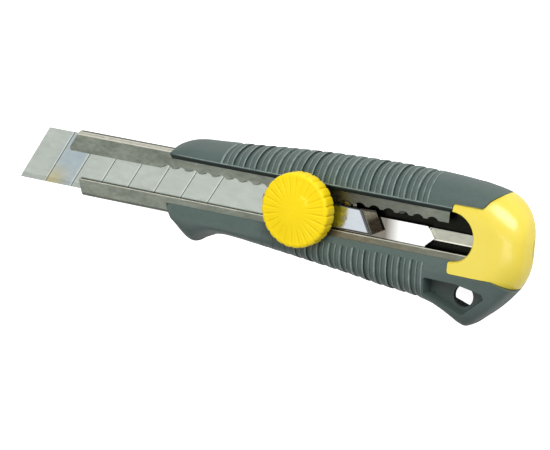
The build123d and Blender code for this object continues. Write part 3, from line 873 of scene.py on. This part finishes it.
def glossyYellow(name, look):
    # bright yellow moulding, a little deeper in its hollows and paler on its edges, the paler edges
    # partly a painted edge highlight
    material, tree, shader = newMaterial(
        name, look["roughness"], coat=look["coat"],
        coatRoughness=look["coatRoughness"], specular=look["specular"],
    )
    grain = useGroup(tree, "grain", Fineness=2.2, Strength=1.0)
    mottle = useGroup(tree, "mottle", Size=8.0, Lengthening=1.0, Contrast=1.0)
    base = mixColour(tree, mottle.outputs["Blotch"], look["body"], look["pale"])
    if look["wearAndHighlight"]:
        wearAndHighlight = useGroup(tree, "wearAndHighlight", Reach=look["wearAndHighlight"], Raggedness=0.15)
        base = mixColour(tree, wearAndHighlight.outputs["Hollow"], base, look["deep"])
        # the paler sharp edges are partly worn plastic and partly a painted edge highlight
        base = mixColour(tree, wearAndHighlight.outputs["Edge"], base, look["edge"])
    tree.links.new(base, shader.inputs["Base Color"])
    grainRoughness(tree, shader, grain.outputs["Speckle"], look["roughness"], 0.05, 0.06)
    addBump(tree, shader, grain.outputs["Height"], 0.03, 0.25)
    return material


wheelLook = {
    "roughness": 0.5, "coat": 0.0, "coatRoughness": 0.25, "specular": 0.25, "wearAndHighlight": 0.5,
    "body": colour(240, 208, 0), "pale": colour(243, 213, 2),
    # deep darkens the hollows; the pale edge colour is partly worn plastic and partly a painted edge
    # highlight
    "deep": colour(226, 180, 0), "edge": colour(248, 228, 60),
}
capLook = {
    "roughness": 0.34, "coat": 0.35, "coatRoughness": 0.2, "specular": 0.5, "wearAndHighlight": 0.0,
    "body": colour(228, 206, 66), "pale": colour(232, 211, 80),
}
wheelYellow = glossyYellow("wheel_yellow", wheelLook)
capYellow = glossyYellow("cap_yellow", capLook)


def channelShades(tree, base, blotch, look):
    # painted light on the channel: a painted highlight on the upper bend and on the bead's lower edge,
    # the folded side painted black as a painted reflection, painted shade on the floor below the lips
    # with a lighter lit bead, dirt with painted shade on the lips beside the slider, a painted
    # reflection of the yellow wheel on the lower lip, and a painted highlight along its inner edge
    x, y, z = splitPlace(tree, objectPlace(tree))
    # painted highlight along the channel's upper bend
    bend = product(tree, stretch(tree, y, 8.55, 8.9), stretch(tree, z, 0.35, 0.6))
    # painted reflection: the folded side is painted nearly black, for the dark surroundings it mirrors
    side = product(tree, stretch(tree, y, 9.3, 9.7), stretch(tree, z, 0.45, 0.15))
    # painted shade: the floor below the lips is painted nearly black
    deep = stretch(tree, z, -0.75, -1.1)
    # the raised bead keeps a lighter lit tone against the painted shade
    onBead = product(tree, stretch(tree, z, -0.72, -0.62), stretch(tree, z, -0.4, -0.5))
    # painted highlight along the bead's lower edge
    beadEdge = product(tree, onBead, stretch(tree, y, -2.45, -2.65))
    # the lips beside and behind the slider are darkened, partly dirt and partly painted shade
    soilAndShadeMask = product(tree, stretch(tree, x, 100, 114), stretch(tree, z, 0.2, 0.5))
    soilAndShadeMask = product(tree, soilAndShadeMask, stretch(tree, blotch, 0.2, 0.7, 0.6, 1.0))
    highFade = stretch(tree, x, 155, 116, 0.15, 0.85)
    high = product(tree, soilAndShadeMask, stretch(tree, y, 2.6, 3.2), highFade)
    # painted reflection of the yellow wheel: a brown tint over the lower lip behind it
    lowFade = stretch(tree, x, 160, 125, 0.25, 0.75)
    low = product(tree, soilAndShadeMask, stretch(tree, y, -5.3, -5.6), lowFade)
    # painted highlight along the lower lip's inner edge
    rim = product(tree, nearTo(tree, y, -5.62, 0.2, 0.08), stretch(tree, z, 0.8, 1.0), 0.8)
    for share, tone in (
        (bend, "bend"), (side, "wall"), (deep, "floor"), (onBead, "bead"),
        (beadEdge, "bend"), (high, "soilAndShade"), (low, "knobReflection"), (rim, "rim"),
    ):
        base = mixColour(tree, share, base, look[tone])
    return base


def blockShades(tree, base, look):
    # painted shade: dark round the cover's rim and along its fold, with a duller tongue past the fold
    # that darkens towards its lower side
    x, y, z = splitPlace(tree, objectPlace(tree))
    halfWidth = math2(tree, "ABSOLUTE", math2(tree, "ADD", y, look["middle"]))
    sides = stretch(tree, halfWidth, 3.1, 3.5)
    foldX, foldY = look["foldCorner"]
    wayX, wayY = look["foldWay"]
    pastX = math2(tree, "MULTIPLY", math2(tree, "SUBTRACT", x, foldX), wayX)
    pastY = math2(tree, "MULTIPLY", math2(tree, "SUBTRACT", y, foldY), wayY)
    past = math2(tree, "ADD", pastX, pastY)
    # painted shade along the fold
    fold = nearTo(tree, past, -0.15, 0.7, 0.4)
    slanted = math2(tree, "ADD", y, math2(tree, "MULTIPLY", past, -0.55))
    # painted shade on the lower part of the tongue
    lower = product(tree, stretch(tree, past, 0.4, 0.7), stretch(tree, slanted, 0.6, -1.6))
    outline = product(tree, math2(tree, "MAXIMUM", sides, fold), 0.85)
    # the tongue past the fold is painted duller, as shade on its slanted face
    base = mixColour(tree, stretch(tree, past, 0.2, 0.5), base, look["tongue"])
    base = mixColour(tree, lower, base, look["tongueDark"])
    return mixColour(tree, outline, base, look["outline"])


def plateSteel(name, look):
    # drawn steel plate: cloudy satin sheen and slide marks
    material, tree, shader = newMaterial(name, look["roughness"], metallic=1.0)
    grain = useGroup(tree, "grain", Fineness=2.6, Strength=1.0)
    mottle = useGroup(tree, "mottle", Size=look["cloud"], Lengthening=2.2, Contrast=look["contrast"])
    marks = useGroup(tree, "marks", Spacing=0.45, Share=look["marks"])
    blotch = mottle.outputs["Blotch"]
    base = mixColour(tree, blotch, look["dark"], look["body"])
    base = mixColour(tree, marks.outputs["Mark"], base, look["mark"])
    if "wall" in look:
        base = channelShades(tree, base, blotch, look)
    if "outline" in look:
        base = blockShades(tree, base, look)
    if "shade" in look:
        # painted shade and a painted brown reflection of the block: the carrier is duller next to the
        # block
        x = splitPlace(tree, objectPlace(tree))[0]
        near = product(tree, stretch(tree, x, 141.5, 136.0), stretch(tree, blotch, 0.1, 0.9, 0.8, 1.0))
        base = mixColour(tree, near, base, look["shade"])
    tree.links.new(base, shader.inputs["Base Color"])
    rough = stretch(
        tree, mottle.outputs["Streak"], 0.2, 0.8, look["roughness"] - 0.08, look["roughness"] + 0.1
    )
    tree.links.new(rough, shader.inputs["Roughness"])
    addBump(tree, shader, grain.outputs["Height"], 0.02, 0.3)
    return material, tree, shader, base


channelLook = {
    "roughness": 0.36, "cloud": 5.5, "contrast": 2.0, "marks": 0.25,
    "body": colour(146, 151, 140), "dark": colour(110, 116, 105), "mark": colour(166, 171, 159),
    # bend is a painted highlight, wall a painted reflection in black, floor painted shade
    "bend": colour(250, 248, 232), "wall": colour(16, 18, 16), "floor": colour(30, 30, 27),
    # the first two darken the lips near the slider with dirt, painted shade and a painted reflection of
    # the wheel; rim is a painted highlight
    "soilAndShade": colour(52, 46, 36), "knobReflection": colour(112, 98, 70), "rim": colour(214, 212, 196),
    # bead is the lighter lit tone of the raised bead
    "bead": colour(186, 187, 172),
}
channelSteel = plateSteel("channel_plate", channelLook)[0]
carrierLook = {
    "roughness": 0.12, "cloud": 9.0, "contrast": 0.5, "marks": 0.12,
    "body": colour(250, 250, 248), "dark": colour(238, 240, 238), "mark": colour(222, 224, 222),
    "shade": colour(96, 88, 74),
}
carrierSteel = plateSteel("carrier_plate_polish", carrierLook)[0]
blockLook = {
    "roughness": 0.14, "cloud": 7.0, "contrast": 0.7, "marks": 0.1,
    "body": colour(200, 206, 210), "dark": colour(176, 183, 190), "mark": colour(232, 236, 240),
    "middle": 1.0, "foldCorner": (127.9, 2.75), "foldWay": (0.88, 0.47),
    # outline, tongue and tongueDark are painted shade colours
    "outline": colour(44, 44, 40), "tongue": colour(172, 164, 142), "tongueDark": colour(70, 62, 50),
}
blockChrome = plateSteel("block_polish", blockLook)[0]
fixingLook = {
    "roughness": 0.3, "cloud": 3.0, "contrast": 1.0, "marks": 0.1,
    "body": colour(190, 192, 188), "dark": colour(150, 152, 148), "mark": colour(215, 216, 212),
}
fixingSteel = plateSteel("fixing_steel", fixingLook)[0]
springLook = dict(
    fixingLook, body=colour(92, 94, 94), dark=colour(60, 62, 62), mark=colour(150, 152, 152)
)
springSteel = plateSteel("spring_steel", springLook)[0]
brassLook = dict(
    fixingLook, body=colour(214, 178, 96), dark=colour(184, 146, 70), mark=colour(236, 208, 140)
)
insertBrass = plateSteel("insert_brass", brassLook)[0]


def bladeFinish(name):
    # ground blade steel, tinted blue over its second segment and straw at that segment's lower corner;
    # its score lines carry painted shade with a painted highlight beside them
    look = {
        "roughness": 0.3, "cloud": 12.0, "contrast": 0.9, "marks": 0.18,
        "body": colour(186, 193, 185), "dark": colour(170, 178, 170), "mark": colour(198, 204, 196),
        # line is painted shade for the score lines
        "blue": colour(160, 175, 184), "straw": colour(188, 180, 140), "line": colour(104, 110, 104),
        # the light lip colour is a painted highlight beside each score line
        "scoreHighlight": colour(222, 226, 218),
        "pitch": 10.0, "slope": math.tan(math.radians(30)), "halfWidth": 9.0,
    }
    material, tree, shader, base = plateSteel(name, look)
    parts = splitPlace(tree, objectPlace(tree))
    rising = math2(tree, "MULTIPLY", math2(tree, "ADD", parts[1], look["halfWidth"]), look["slope"])
    along = math2(tree, "SUBTRACT", parts[0], rising)
    steps = math2(tree, "DIVIDE", math2(tree, "ADD", along, 0.5 * look["pitch"]), look["pitch"])
    fraction = math2(tree, "FRACT", steps)
    offset = math2(tree, "MULTIPLY", math2(tree, "SUBTRACT", fraction, 0.5), look["pitch"])
    inScores = math2(tree, "MULTIPLY", stretch(tree, along, 5, 6), stretch(tree, along, 75, 74))
    # painted shade in each score line and a painted highlight just beside it, where the grooves shade
    # and catch light
    scoreShadeMask = product(tree, nearTo(tree, offset, 0.0, 0.2, 0.1), inScores)
    scoreHighlightMask = product(tree, nearTo(tree, offset, -0.42, 0.26, 0.1), inScores)
    second = product(tree, stretch(tree, along, 7.5, 12), stretch(tree, along, 21, 18))
    base = mixColour(tree, product(tree, second, 0.75), base, look["blue"])
    corner = product(tree, stretch(tree, along, 8, 11), stretch(tree, along, 19, 12))
    lowCorner = product(tree, stretch(tree, parts[1], -1.5, -7.5), corner)
    base = mixColour(tree, lowCorner, base, look["straw"])
    base = mixColour(tree, math2(tree, "MULTIPLY", scoreHighlightMask, 0.6), base, look["scoreHighlight"])
    base = mixColour(tree, scoreShadeMask, base, look["line"])
    tree.links.new(base, shader.inputs["Base Color"])
    return material


bladeSteel = bladeFinish("blade_steel")

finishes = {
    "blade": bladeSteel, "spare_blades": bladeSteel, "blade_channel": channelSteel,
    "channel_rivets": springSteel, "handle_core": coreGrey, "carrier_plate": carrierSteel,
    "blade_peg": fixingSteel, "slot_guide": coreGrey, "slider_block": blockChrome,
    "block_rivets": fixingSteel, "detent_spring": springSteel, "wheel_stud": fixingSteel,
    "clamp_washer": fixingSteel, "spring_washer": springSteel, "wheel_insert": insertBrass,
    "handle_body": handleGrey, "grip_high": handleGrey, "grip_low": handleGrey,
    "end_cap": capYellow, "lock_wheel": wheelYellow,
}
for nodeName, finish in finishes.items():
    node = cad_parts[nodeName]
    if not node.data.materials:
        node.data.materials.append(finish)
    for spot in range(len(node.material_slots)):
        node.material_slots[spot].material = finish
print("materials made")

for nodeName, width in (("blade_channel", 0.12), ("slider_block", 0.1), ("carrier_plate", 0.06)):
    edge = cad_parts[nodeName].modifiers.new("edge", "BEVEL")
    edge.width = width * mm
    edge.segments = 2
    edge.limit_method = "ANGLE"
    edge.angle_limit = math.radians(42)
    edge.harden_normals = False

for piece, finish, body, slotName, nodes in (
    (handleShell, handleGrey, "handle", "handle_moulding", ("handle_body", "grip_high", "grip_low")),
    (buttCap, capYellow, "cap", "cap_plastic", ("end_cap",)),
    (thumbWheel, wheelYellow, "wheel", "wheel_plastic", ("lock_wheel",)),
):
    piece.data.materials.clear()
    piece.data.materials.append(finish)
    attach(piece, body)
    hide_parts(*nodes)


# Floor, lights and camera.
studio = {
    "floorLow": -0.0002,
    "floorReach": 3.0,
    "floorGlow": 0.93,
    "floorColour": (0.92, 0.92, 0.92, 1),
    "worldGlow": 0.4,
}


def makeFloor():
    reach = studio["floorReach"]
    z = cadLow.z + studio["floorLow"]
    mesh = bpy.data.meshes.new("floor")
    corners = [(-reach, -reach, z), (reach, -reach, z), (reach, reach, z), (-reach, reach, z)]
    mesh.from_pydata(corners, [], [(0, 1, 2, 3)])
    floor = bpy.data.objects.new("floor", mesh)
    bpy.context.scene.collection.objects.link(floor)
    material = bpy.data.materials.new("pale_floor")
    material.use_nodes = True
    tree = material.node_tree
    shader = tree.nodes["Principled BSDF"]
    shader.inputs["Base Color"].default_value = studio["floorColour"]
    shader.inputs["Roughness"].default_value = 0.9
    shader.inputs["Specular IOR Level"].default_value = 0.0
    glow = addNode(tree, "ShaderNodeEmission", Color=(1, 1, 1, 1), Strength=studio["floorGlow"])
    seen = tree.nodes.new("ShaderNodeLightPath").outputs["Is Camera Ray"]
    both = tree.nodes.new("ShaderNodeAddShader")
    tree.links.new(shader.outputs[0], both.inputs[0])
    tree.links.new(glow.outputs[0], both.inputs[1])
    blend = tree.nodes.new("ShaderNodeMixShader")
    tree.links.new(seen, blend.inputs[0])
    tree.links.new(shader.outputs[0], blend.inputs[1])
    tree.links.new(both.outputs[0], blend.inputs[2])
    tree.links.new(blend.outputs[0], tree.nodes["Material Output"].inputs["Surface"])
    mesh.materials.append(material)


def makeWorld():
    world = bpy.data.worlds.new("studio_white")
    bpy.context.scene.world = world
    world.use_nodes = True
    tree = world.node_tree
    sky = tree.nodes["Background"]
    sky.inputs["Color"].default_value = (1, 1, 1, 1)
    sky.inputs["Strength"].default_value = studio["worldGlow"]
    white = addNode(tree, "ShaderNodeBackground", Color=(1, 1, 1, 1), Strength=1.0)
    seen = tree.nodes.new("ShaderNodeLightPath").outputs["Is Camera Ray"]
    blend = tree.nodes.new("ShaderNodeMixShader")
    tree.links.new(seen, blend.inputs[0])
    tree.links.new(sky.outputs[0], blend.inputs[1])
    tree.links.new(white.outputs[0], blend.inputs[2])
    tree.links.new(blend.outputs[0], tree.nodes["World Output"].inputs["Surface"])


def addSoftbox(name, toward, distance, size, power, tint=(1, 1, 1)):
    # a square lamp that looks at the knife's middle from a direction
    lamp = bpy.data.lights.new(name, "AREA")
    lamp.shape = "RECTANGLE"
    lamp.size, lamp.size_y = size
    lamp.energy = power
    lamp.color = tint
    holder = bpy.data.objects.new(name, lamp)
    bpy.context.scene.collection.objects.link(holder)
    way = Vector(toward).normalized()
    middle = (cadLow + cadHigh) / 2
    holder.location = middle + way * distance
    holder.rotation_euler = way.to_track_quat("Z", "Y").to_euler()
    return holder


makeFloor()
makeWorld()
addSoftbox("key_softbox", (0.35, 0.75, 0.75), 0.9, (0.45, 0.45), 6.5)
addSoftbox("top_softbox", (0.2, -0.21, 0.97), 1.0, (0.16, 0.5), 1.2)
addSoftbox("front_softbox", (-0.5, -0.2, 0.85), 1.0, (0.6, 0.6), 1.0)

view = {
    "place": (0.4314, 0.1806, 0.7666),
    "turn": (0.183, -0.521, -0.135),  # rotation vector from the object to the camera
    "lens": 185.96,
    "sensor": 36.0,
}


def makeCamera():
    data = bpy.data.cameras.new("camera")
    data.lens = view["lens"]
    data.sensor_width = view["sensor"]
    data.clip_start = 0.01
    camera = bpy.data.objects.new("camera", data)
    bpy.context.scene.collection.objects.link(camera)
    turn = Vector(view["turn"])
    facing = Matrix.Rotation(turn.length, 3, turn.normalized()).transposed()
    camera.matrix_world = Matrix.Translation(Vector(view["place"])) @ facing.to_4x4()
    bpy.context.scene.camera = camera


makeCamera()
bpy.context.scene.view_settings.view_transform = "Standard"
print("studio ready")
